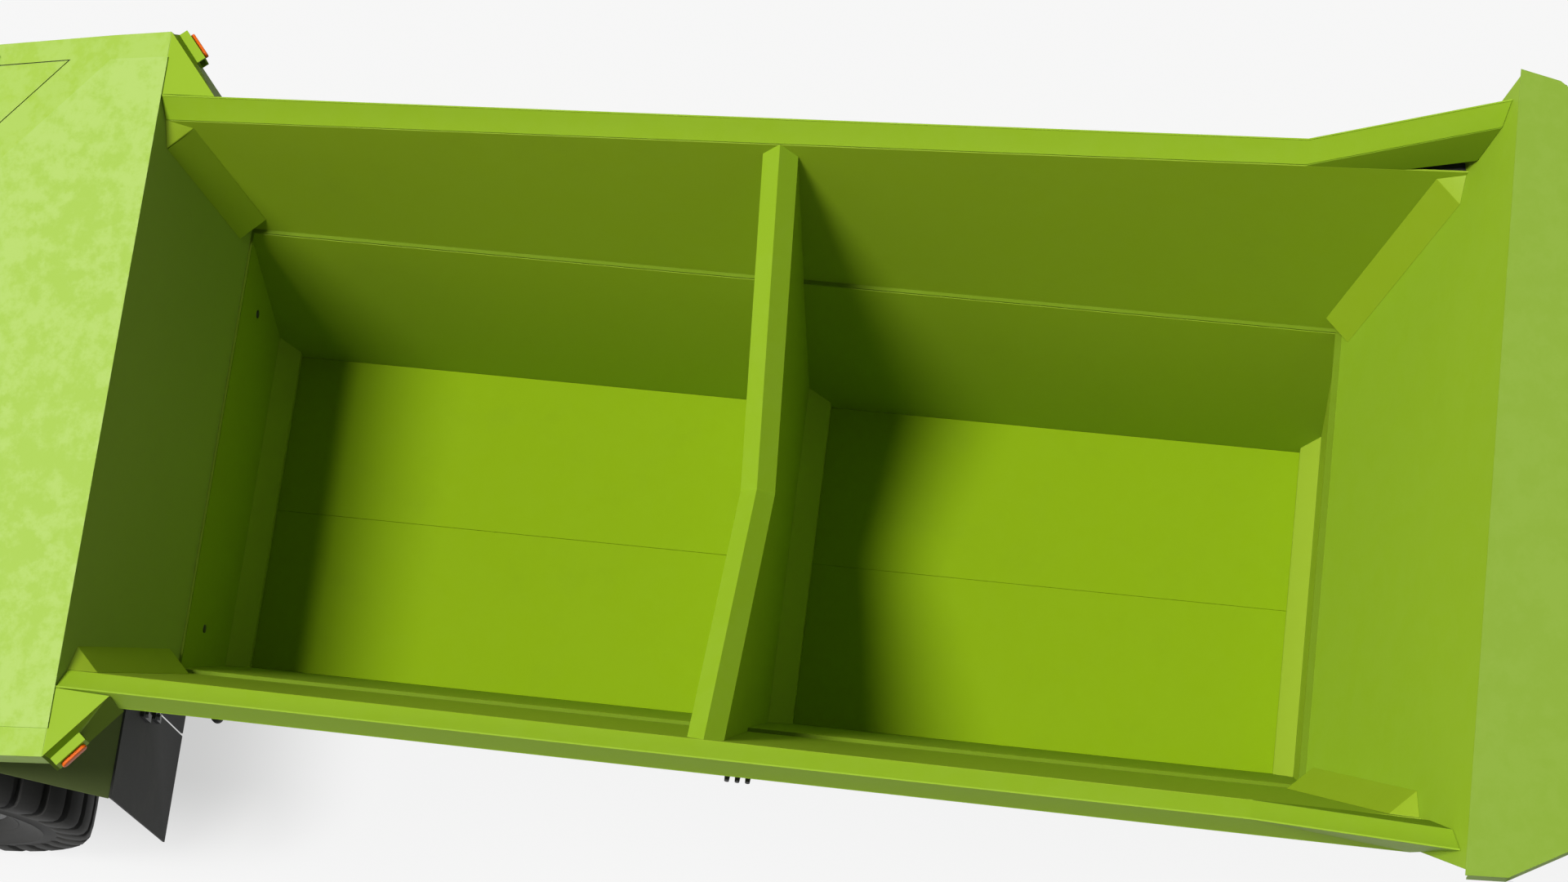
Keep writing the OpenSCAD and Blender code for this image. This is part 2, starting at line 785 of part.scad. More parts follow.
// Steering knuckle with its spindle and its forward steering arm
arm_z = 574;
module knuckle() {
    color(graphite) translate([-axle_x, king_y, 0]) {
        difference() {
            union() {
                for (z = [arm_z, wheel_z + beam_half + 2]) translate([0, 0, z]) {
                    cylinder(r = 46, h = 36);
                    block([-46, 0, 0], [46, 90, 36]);
                }
                block([-60, 52, arm_z], [60, 90, wheel_z + beam_half + 38]);
                block([-steer_x, -24, arm_z], [0, 24, arm_z + 20]);
                translate([-steer_x, 0, arm_z]) cylinder(r = 24, h = 20);
            }
            cylinder(r = king_r + run, h = 3 * wheel_z, center = true);
        }
        translate([0, (90 + spindle_end - king_y) / 2, wheel_z]) rod_y(spindle_r, spindle_end - king_y - 90);
        translate([-steer_x, 0, arm_z - 46]) cylinder(r = pin_r, h = 47);
    }
}

module knuckle_right() {
    knuckle();
}

module knuckle_left() {
    left() knuckle();
}

// Tie rod with a slotted plate for the tongue's steering pin
tie_z = 545;
module tie_rod() {
    color(steel) translate([-axle_x - steer_x, 0, tie_z]) difference() {
        union() {
            both() translate([0, (55 + king_y - 21) / 2, 0]) rod_y(16, king_y - 76);
            both() translate([0, king_y, -7]) cylinder(r = 26, h = 14);
            block([-45, -60, -8], [60, 60, 8]);
        }
        translate([0, -king_y, 0]) cylinder(r = pin_r + run, h = 40, center = true);
        translate([0, king_y, 0]) cylinder(r = pin_r + 2, h = 40, center = true);
        block([-17, -18.5, -9], [42, 18.5, 9]);
    }
}

// Tongue yoke: swings on the axle and holds the drawbar's lift pin
lift_x = 330;
lift_r = 18;
cheek_in = 62;
cheek_out = 82;
module tongue_yoke() {
    color(dark_lime) translate([-axle_x, 0, wheel_z]) {
        difference() {
            union() {
                translate([-tongue_x, 0, -34]) cylinder(r = 45, h = 68);
                block([-285, -35, -27], [-tongue_x, 35, 27]);
            }
            translate([-tongue_x, 0, 0]) cylinder(r = tongue_r + run, h = 80, center = true);
        }
        block([-285, -cheek_out, -27], [-240, cheek_out, 27]);
        both() block([-385, cheek_in, -45], [-240, cheek_out, 45]);
    }
    color(steel) translate([-axle_x, 0, wheel_z]) {
        translate([-lift_x, 0, 0]) rod_y(lift_r, 2 * cheek_out + 20);
        translate([-steer_x, 0, -146]) cylinder(r = pin_r, h = 124);
    }
}

// Drawbar: box beam from the lift pin down to the towing eye, with the jack's outer tube
eye_z = 480;
bar_half = 45;
lift_at = -axle_x - lift_x;
bar_tip = -eye_x + 160;
jack_x = -4500;
jack_y = 110;
jack_r = 31;
bar_fall = (wheel_z - eye_z) / (lift_at - bar_tip);
function bar_mid_z(x) = wheel_z + bar_fall * (x - lift_at);
module drawbar() {
    heel = lift_at - 40;
    color(dark_lime) {
        difference() {
            union() {
                translate([lift_at, 0, wheel_z]) rod_y(42, 2 * cheek_in - 3);
                sheet([[lift_at, -bar_half, wheel_z - 40], [bar_tip, -bar_half, bar_mid_z(bar_tip) - 40],
                       [bar_tip, -bar_half, bar_mid_z(bar_tip) + 40], [lift_at, -bar_half, wheel_z + 40]],
                      [0, 2 * bar_half, 0]);
            }
            translate([lift_at, 0, wheel_z]) rod_y(lift_r + run, 200);
            sheet([[heel - 40, -bar_half + 8, bar_mid_z(heel - 40) - 32],
                   [bar_tip + 20, -bar_half + 8, bar_mid_z(bar_tip + 20) - 32],
                   [bar_tip + 20, -bar_half + 8, bar_mid_z(bar_tip + 20) + 32],
                   [heel - 40, -bar_half + 8, bar_mid_z(heel - 40) + 32]],
                  [0, 2 * bar_half - 16, 0]);
        }
        difference() {
            union() {
                translate([jack_x, jack_y, 300]) cylinder(r = jack_r + 7, h = 420);
                block([jack_x - 40, bar_half, bar_mid_z(jack_x) - 35],
                      [jack_x + 40, jack_y, bar_mid_z(jack_x) + 35]);
            }
            translate([jack_x, jack_y, 290]) cylinder(r = jack_r, h = 440);
        }
    }
}

// Forged towing eye bolted to the drawbar's tip
eye_bore = 25;
eye_h = 32;
module towing_eye() {
    color(graphite) translate([-eye_x, 0, eye_z]) difference() {
        union() {
            translate([0, 0, -eye_h / 2]) cylinder(r = eye_r, h = eye_h);
            block([0, -28, -eye_h / 2], [140, 28, eye_h / 2]);
            block([140, -bar_half, -40], [160, bar_half, 40]);
        }
        cylinder(r = eye_bore, h = 2 * eye_h, center = true);
    }
}

module jack_leg() {
    color(steel) translate([jack_x, jack_y, 0]) {
        cylinder(r = 90, h = 14);
        cylinder(r = jack_r - run, h = 620);
    }
}

// Tyre: hollow carcass with two rings of shoulder lugs, staggered by half a pitch
rim_r = 337;
lug_h = 30;
module tyre_body() {
    w = tyre_w / 2;
    tread = tyre_r - lug_h;
    lug_a = 360 / lug_count;
    carcass = [[rim_r, w - 66], [rim_r + 20, w - 66], [rim_r + 90, w - 12], [rim_r + 160, w],
               [tread - 60, w - 14], [tread - 12, w - 44], [tread, w - 84]];
    inner = [[rim_r, w - 92], [rim_r + 20, w - 92], [rim_r + 90, w - 38], [rim_r + 160, w - 26],
             [tread - 74, w - 42], [tread - 28, w - 90]];
    envelope = [[rim_r + 60, 20], [tyre_r, 20], [tyre_r, w - 70], [tyre_r - 22, w - 34], [tread - 60, w - 8],
                [tread - 90, w - 8], [tread - 90, 20]];
    rotate_extrude($fn = 96) polygon(concat(
        carcass,
        [for (p = turned(carcass)) [p[0], -p[1]]],
        [for (p = inner) [p[0], -p[1]]],
        turned(inner)
    ));
    for (s = [0, 1]) mirror([0, 0, s]) intersection() {
        rotate([0, 0, s * lug_a / 2]) translate([0, 0, 21]) difference() {
            linear_extrude(w - 20) polygon([
                for (i = [0 : lug_count - 1]) for (k = [[-0.34, 0], [-0.30, 1], [0, 1], [0.30, 1], [0.34, 0]])
                    let (a = (i + k[0]) * lug_a, r = k[1] == 1 ? tyre_r : tread - 62)
                    [r * cos(a), r * sin(a)]
            ]);
            cylinder(r = tread - 40, h = w - 90);
            translate([0, 0, w - 91]) cylinder(r = tread - 60, h = 90);
        }
        rotate_extrude($fn = 96) polygon(envelope);
    }
}

// Wheel: rim barrel with flanges, dished disc, hub with bore, cap and nuts
nut_pcd = 140;
nut_count = 10;
module wheel_body() {
    w = tyre_w / 2;
    seat = rim_r - 0.1;
    edge = [[seat - 20, w - 120], [seat, w - 92], [seat, w - 66], [seat + 16, w - 66], [seat + 16, w - 58],
            [seat - 8, w - 58], [seat - 28, w - 108]];
    barrel = concat(edge, [for (p = turned(edge)) [p[0], -p[1]]]);
    disc = [[90, 40], [200, 40], [seat - 26, 84], [seat - 26, 98], [196, 54], [90, 54]];
    hub = [[spindle_r + run, -245], [80, -245], [95, -225], [95, 54], [75, 62], [70, 90], [0, 90], [0, 60],
           [spindle_r + run, 60]];
    rotate_extrude($fn = 96) polygon(barrel);
    rotate_extrude($fn = 96) polygon(disc);
    rotate_extrude($fn = 96) polygon(hub);
    for (i = [0 : nut_count - 1]) rotate([0, 0, i * 360 / nut_count]) translate([nut_pcd, 0, 54]) {
        cylinder(r = 17, h = 18, $fn = 6);
        cylinder(r = 9, h = 28);
    }
}

module wheel_place(x) {
    translate([x, tyre_mid, wheel_z]) rotate([-90, 0, 0]) children();
}

module tyre_front_right() {
    color(black) wheel_place(-axle_x) tyre_body();
}

module tyre_front_left() {
    color(black) left() wheel_place(-axle_x) tyre_body();
}

module tyre_rear_right() {
    color(black) wheel_place(rear_axle_x) tyre_body();
}

module tyre_rear_left() {
    color(black) left() wheel_place(rear_axle_x) tyre_body();
}

module wheel_front_right() {
    color(steel) wheel_place(-axle_x) wheel_body();
}

module wheel_front_left() {
    color(steel) left() wheel_place(-axle_x) wheel_body();
}

module wheel_rear_right() {
    color(steel) wheel_place(rear_axle_x) wheel_body();
}

module wheel_rear_left() {
    color(steel) left() wheel_place(rear_axle_x) wheel_body();
}

// Door leaf with ribs, hinge straps and the slotted arm; drawn for the rear right leaf
leaf_t = 8;
leaf_z = floor_z - 2;
leaf_lap = 6;
leaf_edge = 0.6;
arm_x = 80;
arm_t = 16;
arm_lean = -door_open / 2;
knuckle_x = [230, 560, 1080, 1560];
knuckle_w = 70;
knuckle_r = 17;
module door_arm() {
    long = arm_drop / cos(arm_lean);
    slot_w = 14.5;
    translate([arm_x, hinge_y, hinge_z]) rotate([arm_lean, 0, 0]) rotate([90, 0, 90]) linear_extrude(arm_t)
        difference() {
            union() {
                circle(r = knuckle_r);
                polygon([[-knuckle_r, 0], [knuckle_r, 0], [28, -60], [28, -long - 8],
                         [-28, -long - 8], [-28, -60]]);
                translate([0, -long - 8]) circle(r = 28);
            }
            translate([-slot_w, -long]) square([2 * slot_w, long - arm_drop]);
            translate([0, -long]) circle(r = slot_w);
            translate([0, -arm_drop]) circle(r = slot_w);
        }
}

module door_leaf() {
    low = centre_gap - leaf_lap;
    high = strip_x + leaf_lap;
    rib = [[2, leaf_z - 40], [60, leaf_z - 58], [520, leaf_z - 58], [590, leaf_z - 30],
           [590, leaf_z - leaf_t], [2, leaf_z - leaf_t]];
    difference() {
        union() {
            block([low, leaf_edge, leaf_z - leaf_t], [high, floor_half - 1, leaf_z]);
            for (x = [low, 390, 780, 1220, high - 60]) slice(rib, x, 12);
            for (x = concat([low - 4 + knuckle_w / 2 - 30], knuckle_x)) {
                w = x < knuckle_x[0] ? 18 : knuckle_w;
                block([max(x, low), 540, hinge_z - 12], [max(x, low) + w, hinge_y, leaf_z - leaf_t]);
                translate([max(x, low) + w / 2, hinge_y, hinge_z]) rod_x(knuckle_r, w);
            }
            translate([(arm_x - 8 + low + 18) / 2, hinge_y, hinge_z]) rod_x(knuckle_r, low + 18 - arm_x + 8);
            door_arm();
        }
        translate([0, hinge_y, hinge_z]) rod_x(pin_r + run, 2 * tub_end);
    }
}

module door_rear_right() {
    color(lime) door_leaf();
}

module door_rear_left() {
    color(lime) left() door_leaf();
}

module door_front_right() {
    color(lime) mirror([1, 0, 0]) door_leaf();
}

module door_front_left() {
    color(lime) left() mirror([1, 0, 0]) door_leaf();
}

module hinge_pins() {
    pin_low = 66;
    pin_high = 1872;
    color(steel) both_ends() both() translate([(pin_low + pin_high) / 2, hinge_y, hinge_z])
        rod_x(pin_r, pin_high - pin_low);
}

// Door cylinders clamped under the centre beam, one for each leaf
cyl_x = arm_x + arm_t / 2;
cyl_z = hinge_z - arm_drop;
cyl_r = 34;
rod_r = 18;
pin_rest = hinge_y + arm_drop * tan(arm_lean);
module door_cylinders() {
    color(graphite) both_ends() both() difference() {
        union() {
            translate([cyl_x, 280, cyl_z]) rod_y(cyl_r, 300);
            translate([cyl_x, 415, cyl_z]) rod_y(cyl_r + 2, 24);
            for (y = [150, 370]) block([50, y, cyl_z], [cyl_x + 30, y + 24, beam_bottom]);
        }
        translate([cyl_x, 310, cyl_z]) rod_y(rod_r + run, 260);
    }
}

// Piston rod with a fork round the slotted arm and the fork's pin
module piston_rod() {
    fork_back = pin_rest - 76;
    fork_in = pin_rest - 60;
    difference() {
        union() {
            translate([cyl_x, (190 + fork_back) / 2, cyl_z]) rod_y(rod_r, fork_back - 190);
            block([cyl_x - 22, fork_back, cyl_z - 25], [cyl_x + 22, pin_rest + 24, cyl_z + 25]);
        }
        block([cyl_x - 9, fork_in, cyl_z - 26], [cyl_x + 9, pin_rest + 25, cyl_z + 26]);
    }
    translate([cyl_x, pin_rest, cyl_z]) rod_x(10, 44);
}

module rod_rear_right() {
    color(steel) piston_rod();
}

module rod_rear_left() {
    color(steel) left() piston_rod();
}

module rod_front_right() {
    color(steel) mirror([1, 0, 0]) piston_rod();
}

module rod_front_left() {
    color(steel) left() mirror([1, 0, 0]) piston_rod();
}

// Control valve on the left sill; three levers tip on one pin
lever_x = [-55, -18, 19];
lever_y = 780;
lever_z = 985;
lever_r = 5;
lever_rise = 17;
module control_valve() {
    color(graphite) left() {
        block([-85, flange_out, 835], [49, flange_out + 8, 935]);
        block([-80, flange_out + 8, 850], [44, 812, 960]);
        for (x = [-78, -38.5, -1.5, 36]) block([x, lever_y - 9, 960], [x + 5, lever_y + 9, lever_z + 9]);
        for (x = lever_x) translate([x, lever_y - 15, 838]) cylinder(r = 13, h = 14);
        translate([-18, lever_y, lever_z]) rod_x(lever_r, 119);
    }
}

module lever(x) {
    translate([x, lever_y, lever_z]) {
        difference() {
            union() {
                rod_x(10, 16);
                rotate([-90 + lever_rise, 0, 0]) cylinder(r = 5, h = 50);
            }
            rod_x(lever_r + run, 40);
        }
        rotate([-90 + lever_rise, 0, 0]) translate([0, 0, 48]) cylinder(r1 = 8, r2 = 11, h = 10);
        rotate([-90 + lever_rise, 0, 0]) translate([0, 0, 58]) cylinder(r1 = 11, r2 = 8.5, h = 36);
    }
}

module lever_front_doors() {
    color(black) left() lever(lever_x[0]);
}

module lever_rear_doors() {
    color(black) left() lever(lever_x[1]);
}

module lever_jack() {
    color(black) left() lever(lever_x[2]);
}

// The drawing origin is on the ground under the middle of the whole wagon
module on_ground() {
    translate([mid_x, 0, 0]) children();
}

on_ground() tub_side_left();
on_ground() tub_side_right();
on_ground() tub_ends();
on_ground() ledge_frame();
on_ground() upper_side_left();
on_ground() upper_side_right();
on_ground() front_end_wall();
on_ground() rear_end_wall();
on_ground() rim_left();
on_ground() rim_right();
on_ground() divider();
on_ground() divider_cap();
on_ground() foot_strips();
on_ground() corner_gussets();
on_ground() side_stakes();
on_ground() front_hood();
on_ground() hood_hatch_left();
on_ground() hood_hatch_right();
on_ground() rear_hood();
on_ground() fender_left();
on_ground() fender_right();
on_ground() mud_flaps();
on_ground() lamp_lenses();
on_ground() side_sill_left();
on_ground() side_sill_right();
on_ground() cross_beams();
on_ground() frame_rails();
on_ground() end_posts();
on_ground() bolster();
on_ground() rear_axle();
on_ground() hinge_pins();
on_ground() front_axle();
on_ground() knuckle_left();
on_ground() knuckle_right();
on_ground() tie_rod();
on_ground() tongue_yoke();
on_ground() drawbar();
on_ground() towing_eye();
on_ground() jack_leg();
on_ground() tyre_front_left();
on_ground() tyre_front_right();
on_ground() tyre_rear_left();
on_ground() tyre_rear_right();
on_ground() wheel_front_left();
on_ground() wheel_front_right();
on_ground() wheel_rear_left();
on_ground() wheel_rear_right();
on_ground() door_front_left();
on_ground() door_front_right();
on_ground() door_rear_left();
on_ground() door_rear_right();
on_ground() door_cylinders();
on_ground() rod_front_left();
on_ground() rod_front_right();
on_ground() rod_rear_left();
on_ground() rod_rear_right();
on_ground() control_valve();
on_ground() lever_front_doors();
on_ground() lever_rear_doors();
on_ground() lever_jack();
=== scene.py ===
import bpy
import bmesh
import json
import math
from mathutils import Matrix, Vector


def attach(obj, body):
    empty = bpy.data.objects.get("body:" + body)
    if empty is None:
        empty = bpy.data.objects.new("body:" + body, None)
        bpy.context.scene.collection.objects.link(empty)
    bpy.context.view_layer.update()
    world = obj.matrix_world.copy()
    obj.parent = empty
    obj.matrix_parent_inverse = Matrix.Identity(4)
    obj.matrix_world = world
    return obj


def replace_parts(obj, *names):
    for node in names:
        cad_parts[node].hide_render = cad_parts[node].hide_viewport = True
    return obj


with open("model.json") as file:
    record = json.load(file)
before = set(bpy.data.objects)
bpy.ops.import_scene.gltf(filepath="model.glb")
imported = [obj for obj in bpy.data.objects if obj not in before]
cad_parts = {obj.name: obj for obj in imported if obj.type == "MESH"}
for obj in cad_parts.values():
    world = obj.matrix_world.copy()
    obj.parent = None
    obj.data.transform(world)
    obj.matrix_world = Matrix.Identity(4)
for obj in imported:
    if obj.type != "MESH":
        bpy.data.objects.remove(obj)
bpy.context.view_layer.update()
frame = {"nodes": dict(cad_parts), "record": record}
nodes = frame["nodes"]
body_of_node = {n: b for b, members in frame["record"]["behaviour"]["bodies"].items() for n in members}
sides = ((-1, "left"), (1, "right"))


# Camera: where the photo was taken from, high beside the left rim, with a long lens. Its place and aim
# come from the straight edges of hopper and hoods in the photo. Places in this file are in metres with x
# counted from the divider, and mid_x is where the divider stands in the frame.
def box_of(node):
    """Low and high corner of a CAD node."""
    spots = [v.co for v in nodes[node].data.vertices]
    return [Vector(pick(v[k] for v in spots) for k in range(3)) for pick in (min, max)]


def middle_of(node):
    low, high = box_of(node)
    return (low + high) / 2


mid_x = middle_of("divider").x
scene = bpy.context.scene
camera = bpy.data.objects.new("camera", bpy.data.cameras.new("camera"))
scene.collection.objects.link(camera)
right = Vector((0.9907, 0.1195, -0.0650))
up = Vector((-0.0960, 0.9526, 0.2886))
back = right.cross(up)
up = back.cross(right)
camera.matrix_world = Matrix((
    (right.x, up.x, back.x, 1.2993 + mid_x),
    (right.y, up.y, back.y, -3.3802),
    (right.z, up.z, back.z, 13.913),
    (0, 0, 0, 1)))
camera.data.sensor_width = 36
camera.data.lens = 85.4
camera.data.clip_end = 400
scene.camera = camera


# Studio: a pale floor, an even white surround and one big soft light from ahead of the wagon.
# The light stands about 23 degrees off the vertical, as the shadows in the tubs show, and the
# floor's shadow fades out a metre from the tyres.
class Shade:
    """A shader socket that takes arithmetic."""

    def __init__(self, tree, socket):
        self.tree = tree
        self.socket = socket

    def math(self, operation, *others):
        n = self.tree.nodes.new("ShaderNodeMath")
        n.operation = operation
        for place, value in zip(n.inputs, (self,) + others):
            plug(self.tree, place, value)
        return Shade(self.tree, n.outputs[0])

    def __add__(self, other):
        return self.math("ADD", other)

    def __sub__(self, other):
        return self.math("SUBTRACT", other)

    def __rsub__(self, other):
        return (self * -1) + other

    def __mul__(self, other):
        return self.math("MULTIPLY", other)

    def __pow__(self, other):
        return self.math("POWER", other)

    def clamp(self):
        limited = self.math("ADD", 0.0)
        limited.socket.node.use_clamp = True
        return limited

    def step(self, low, high):
        """Smooth ramp from 0 at low to 1 at high."""
        return make(self.tree, "ShaderNodeMapRange", dict(interpolation_type="SMOOTHSTEP"), {
            "Value": self, "From Min": low, "From Max": high})


def plug(tree, place, value):
    """Link a shade to a socket, or set the socket to a plain value."""
    if isinstance(value, Shade):
        tree.links.new(value.socket, place)
    elif isinstance(value, (tuple, list)) and len(value) == 3 and place.type == "RGBA":
        place.default_value = (*value, 1)
    else:
        place.default_value = value


def make(tree, kind, settings=None, inputs=None, output=0):
    """A new shader node, as the shade of one of its outputs."""
    n = tree.nodes.new(kind)
    for key, value in (settings or {}).items():
        setattr(n, key, value)
    for key, value in (inputs or {}).items():
        plug(tree, n.inputs[key], value)
    return Shade(tree, n.outputs[output])


def part_of(tree, vector, axis):
    return make(tree, "ShaderNodeSeparateXYZ", inputs={0: vector}, output=axis)


def own_place(tree):
    return make(tree, "ShaderNodeTexCoord", output=3)


def shown_ray(tree):
    """1 for rays that show the white surround: to the camera, off gloss and through glass."""
    ends = [make(tree, "ShaderNodeLightPath", output=name) for name in
            ("Is Camera Ray", "Is Glossy Ray", "Is Transmission Ray")]
    return (ends[0] + ends[1] + ends[2]).clamp()


def mix(tree, amount, a, b):
    return make(tree, "ShaderNodeMix", dict(data_type="RGBA"), {0: amount, 6: a, 7: b}, 2)


white_level = 0.93
world = bpy.data.worlds.new("studio")
scene.world = world
world.use_nodes = True
tree = world.node_tree
tree.nodes.clear()
way = make(tree, "ShaderNodeTexCoord", output=0)
behind = part_of(tree, way, 0)
overhead = part_of(tree, way, 2).clamp()
ambient = make(tree, "ShaderNodeBackground", inputs={
    "Color": (0.98, 0.99, 1.0), "Strength": ((1 - overhead) ** 2 * 0.55 + 0.1) * (1 - behind * 0.25)})
plain = make(tree, "ShaderNodeBackground", inputs={"Color": (white_level,) * 3, "Strength": 1.0})
both = make(tree, "ShaderNodeMixShader", inputs={0: shown_ray(tree), 1: ambient, 2: plain})
tree.links.new(both.socket, tree.nodes.new("ShaderNodeOutputWorld").inputs[0])

key_light = bpy.data.objects.new("key_light", bpy.data.lights.new("key_light", "SUN"))
scene.collection.objects.link(key_light)
key_light.data.energy = 3.9
key_light.data.angle = math.radians(18)
key_light.data.color = (1.0, 0.985, 0.95)
key_light.rotation_euler = Vector((0.43, 0.05, -1)).to_track_quat("-Z", "Y").to_euler()

floor_half = 60
floor_grey = 0.262
floor_lift = 0.573
shadow_behind = 0.5
shadow_core_x = 0.3
shadow_core_y = 0.85
shadow_fade = 0.78
floor_mesh = bpy.data.meshes.new("studio_floor")
floor_mesh.from_pydata([(floor_half * x, floor_half * y, 0) for x, y in ((-1, -1), (1, -1), (1, 1), (-1, 1))],
                       [], [(0, 1, 2, 3)])
floor = bpy.data.objects.new("studio_floor", floor_mesh)
scene.collection.objects.link(floor)
floor_paint = bpy.data.materials.new("studio_floor")
floor_paint.use_nodes = True
tree = floor_paint.node_tree
tree.nodes.clear()
shadowed = make(tree, "ShaderNodeBsdfDiffuse", inputs={"Color": (floor_grey,) * 3})
glow = make(tree, "ShaderNodeEmission", inputs={"Color": (1, 1, 1), "Strength": floor_lift})
summed = make(tree, "ShaderNodeAddShader", inputs={0: shadowed, 1: glow})
white = make(tree, "ShaderNodeEmission", inputs={"Color": (1, 1, 1), "Strength": white_level})
ground = own_place(tree)
ground_x = part_of(tree, ground, 0)
ground_y = part_of(tree, ground, 1)
axle_off = (ground_x - middle_of("tyre_front_left").x - shadow_behind).math("ABSOLUTE").math(
    "MINIMUM", (ground_x - middle_of("tyre_rear_left").x - shadow_behind).math("ABSOLUTE"))
past_tyre = (axle_off - shadow_core_x).math("MAXIMUM", 0.0)
past_side = (ground_y.math("ABSOLUTE") - shadow_core_y).math("MAXIMUM", 0.0) * 1.6
far_off = (past_tyre * past_tyre + past_side * past_side).math("SQRT").step(0.0, shadow_fade) * 0.9
fading = make(tree, "ShaderNodeMixShader", inputs={0: far_off, 1: summed, 2: white})
shown = make(tree, "ShaderNodeMixShader", inputs={0: shown_ray(tree), 1: shadowed, 2: fading})
tree.links.new(shown.socket, tree.nodes.new("ShaderNodeOutputMaterial").inputs[0])
floor_mesh.materials.append(floor_paint)


# Lime paint: sprayed enamel over welded sheet and tube, with a fine grain and a soft cloudy haze where
# dust has dulled it. The outside is paler than the inside: on the hoods the pale tone is dust and a painted
# sheen, a painted reflection of the white surround. Each group of sheets has its own tone, set to the light
# that group gets, so most group tones are lit and shaded copies of one lime: painted light and shade.
def new_material(name):
    m = bpy.data.materials.new(name)
    m.use_nodes = True
    m.node_tree.nodes.clear()
    return m, m.node_tree


def finish_material(m, values, normal):
    t = m.node_tree
    shader = t.nodes.new("ShaderNodeBsdfPrincipled")
    for name, value in values.items():
        plug(t, shader.inputs[name], value)
    t.links.new(normal.socket, shader.inputs["Normal"])
    out = t.nodes.new("ShaderNodeOutputMaterial")
    t.links.new(shader.outputs[0], out.inputs[0])
    return m


def noise(t, scale, detail, rough):
    return make(t, "ShaderNodeTexNoise", inputs={
        "Vector": own_place(t), "Scale": scale, "Detail": detail, "Roughness": rough})


def bumps(t, strength, deep, height):
    return make(t, "ShaderNodeBump", inputs={"Strength": strength, "Distance": deep, "Height": height})


dull_tone = (0.10, 0.15, 0.02)
# The web tone is a painted shade: a darker lime laid where the web under the rim's rise lies in shade.
web_shade_tone = (0.125, 0.207, 0.006)


def lime_paint(name, base, pale, dust_and_sheen, dirt, shine, even=0.0, pale_until=None, web_shade=None):
    """Paint that turns pale in dust clouds (on the hoods also a painted sheen), evenly by even (a painted
    sheen), and only ahead of pale_until if given; the web mask lays a painted shade on the web under each
    rim's rise, from the place's x and y."""
    m, t = new_material(name)
    cloud = noise(t, 2.4, 3, 0.5) * 0.3 + noise(t, 13, 8, 0.68) * 0.7
    speck = noise(t, 60, 3, 0.6)
    fine = noise(t, 420, 2, 0.5)
    pale_share = cloud.step(0.42, 0.58) * dust_and_sheen + even
    if pale_until is not None:
        pale_share = pale_share * (pale_until - part_of(t, own_place(t), 0)).step(-0.002, 0.002)
    tone = mix(t, pale_share.clamp(), base, pale)
    dull = noise(t, 3.7, 7, 0.7).step(0.5, 0.8)
    tone = mix(t, (dull * dirt).clamp(), tone, dull_tone)
    if web_shade is not None:
        at = own_place(t)
        tone = mix(t, web_shade(part_of(t, at, 0), part_of(t, at, 1)), tone, web_shade_tone)
    return finish_material(m, {
        "Base Color": tone, "Roughness": cloud * 0.08 + speck * 0.08 + 0.46,
        "Specular IOR Level": shine}, bumps(t, 0.05, 0.002, fine + speck * 0.6))


kink_x = 1.727
kink_y = 1.0525
rise_y = 0.1349


def web_shade_share(x, y):
    """Mask of a painted shade: 1 on the web under the rim's rise, which lies inside the rim's inner edge."""
    past = x - mid_x - kink_x
    return (past * rise_y + kink_y - y.math("ABSOLUTE")).step(0.0, 0.0015) * past.step(0.001, 0.008)


lime = (0.223, 0.366, 0.0083)
pale_dust_and_sheen = (0.34, 0.50, 0.104)
wing_end = -2.143 + mid_x
# The inside paint has red and blue raised, a painted grey fill that makes its shade greyer; the floor doors,
# rear wall and rims are set darker or lighter to the light each gets, as painted light.
inside_paint = lime_paint("lime_paint_inside", (0.245, 0.362, 0.0125), pale_dust_and_sheen, 0.02, 0.06, 0.2)
# The foot strips are a lighter copy of the inside paint, a painted highlight that lifts them out of the tubs'
# shade.
strip_highlight_paint = lime_paint("lime_paint_strips", (0.275, 0.39, 0.026), pale_dust_and_sheen, 0.02, 0.06, 0.2)
door_paint = lime_paint("lime_paint_floor", (0.201, 0.322, 0.007), pale_dust_and_sheen, 0.01, 0.08, 0.0)
rear_wall_paint = lime_paint("lime_paint_walls", (0.237, 0.381, 0.0156), pale_dust_and_sheen, 0.04, 0.04, 0.2)
# The front wall paint is greyer and bluer, a painted reflection of the white surround on a wall in shade.
front_wall_sheen_paint = lime_paint("lime_paint_front_wall", (0.265, 0.378, 0.05), pale_dust_and_sheen, 0.04, 0.04, 0.25)
# The rim paint carries the painted shade on the web under each rim's rise.
rim_paint = lime_paint("lime_paint_rims", (0.24, 0.388, 0.0155), pale_dust_and_sheen, 0.04, 0.04, 0.1, web_shade=web_shade_share)
frame_paint = lime_paint("lime_paint_frame", lime, pale_dust_and_sheen, 0.03, 0.16, 0.25)
# The fender paint is a darker, greyer lime: painted shade with a painted grey reflection.
fender_shade_paint = lime_paint("lime_paint_fenders", (0.17, 0.215, 0.078), pale_dust_and_sheen, 0.03, 0.1, 0.15)
# Hood tones: pale in dust clouds and, more, as a painted sheen of the white surround; the front hood also
# pales evenly as painted sheen, and the rear hood is greyer as a painted reflection.
cover_sheen_paint = lime_paint("lime_paint_cover", (0.257, 0.415, 0.015), (0.335, 0.492, 0.098), 0.42, 0.02, 0.12,
                         even=0.5, pale_until=wing_end)
hood_sheen_paint = lime_paint("lime_paint_hood", (0.305, 0.466, 0.072), (0.36, 0.515, 0.125), 0.9, 0.02, 0.12)
tail_sheen_paint = lime_paint("lime_paint_tail", (0.245, 0.392, 0.043), pale_dust_and_sheen, 0.12, 0.02, 0.12)
